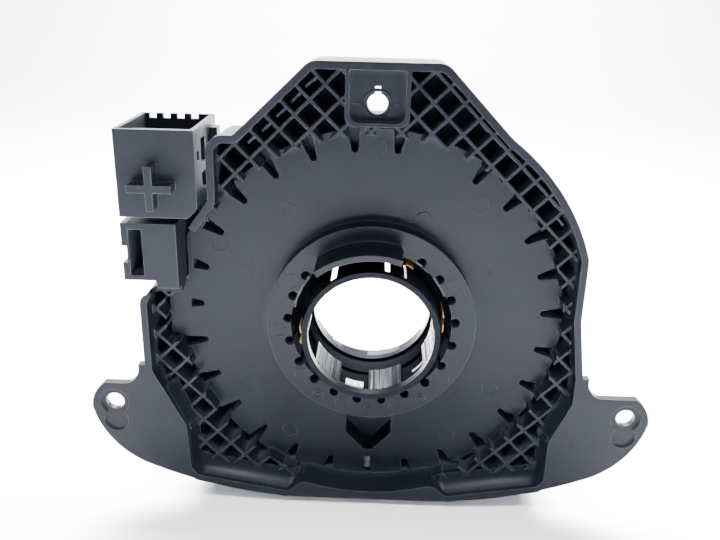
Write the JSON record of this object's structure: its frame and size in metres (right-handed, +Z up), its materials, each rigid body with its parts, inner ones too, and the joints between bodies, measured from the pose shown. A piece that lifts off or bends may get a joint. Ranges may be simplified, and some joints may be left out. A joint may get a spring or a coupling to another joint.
{
  "type": "steering clock spring",
  "caption": "Steering clock spring: flat ribbed pan with screw ears and side connectors, and a castellated hub that turns in its bore.",
  "frame": {"origin": "on the bore's axis, in the plane of the disc's column-side face", "axes": "+Y along the bore from the column to the wheel, +Z up, +X to the right seen from the column"},
  "size_m": [0.1848, 0.0548, 0.1474],
  "materials": {
    "black_plastic": "satin moulded",
    "dark_plastic": "matt moulded",
    "grey_plastic": "matt moulded",
    "pale_plastic": "matt moulded",
    "amber_plastic": "matt moulded",
    "steel": "zinc plated",
    "magnet": "sintered",
    "board": "lacquered",
    "pin_metal": "tinned",
    "ribbon": "polyimide film"
  },
  "bodies": {
    "stator": {"rear_housing": "black_plastic", "cassette_screws": "steel", "cassette_housing": "dark_plastic", "retaining_ring": "dark_plastic", "sensor_board": "board", "sensor_chips": "black_plastic", "connector_box": "black_plastic", "connector_partition": "black_plastic", "connector_pins": "pin_metal", "lower_connector": "black_plastic", "lower_pins": "pin_metal", "ribbon_cable": "ribbon"},
    "rotor": {"rotor_hub": "black_plastic", "rotor_plate": "dark_plastic", "drive_gear": "grey_plastic", "terminal_blocks": "pale_plastic", "ribbon_tabs": "ribbon", "signal_socket": "grey_plastic", "signal_socket_pins": "pin_metal", "airbag_socket": "amber_plastic", "airbag_socket_pins": "pin_metal"},
    "first_gear": {"first_sensor_gear": "pale_plastic", "first_magnet": "magnet"},
    "second_gear": {"second_sensor_gear": "pale_plastic", "second_magnet": "magnet"}
  },
  "joints": [
    {"name": "rotor_spin", "type": "hinge", "parent": "stator", "child": "rotor", "pos_m": [0, 0, 0], "axis": [0, 1, 0], "range_deg": [-900, 900], "deforming": ["ribbon_cable"]},
    {"name": "first_gear_spin", "type": "hinge", "parent": "stator", "child": "first_gear", "pos_m": [0.03545, 0, 0.01885], "axis": [0, 1, 0], "range_deg": [-2700, 2700]},
    {"name": "second_gear_spin", "type": "hinge", "parent": "stator", "child": "second_gear", "pos_m": [0.04025, 0, -0.00856], "axis": [0, 1, 0], "range_deg": [-2454.6, 2454.6]}
  ],
  "couplings": [
    {"joint": "first_gear_spin", "follows": "rotor_spin", "ratio": -3},
    {"joint": "second_gear_spin", "follows": "rotor_spin", "ratio": -2.7273}
  ]
}
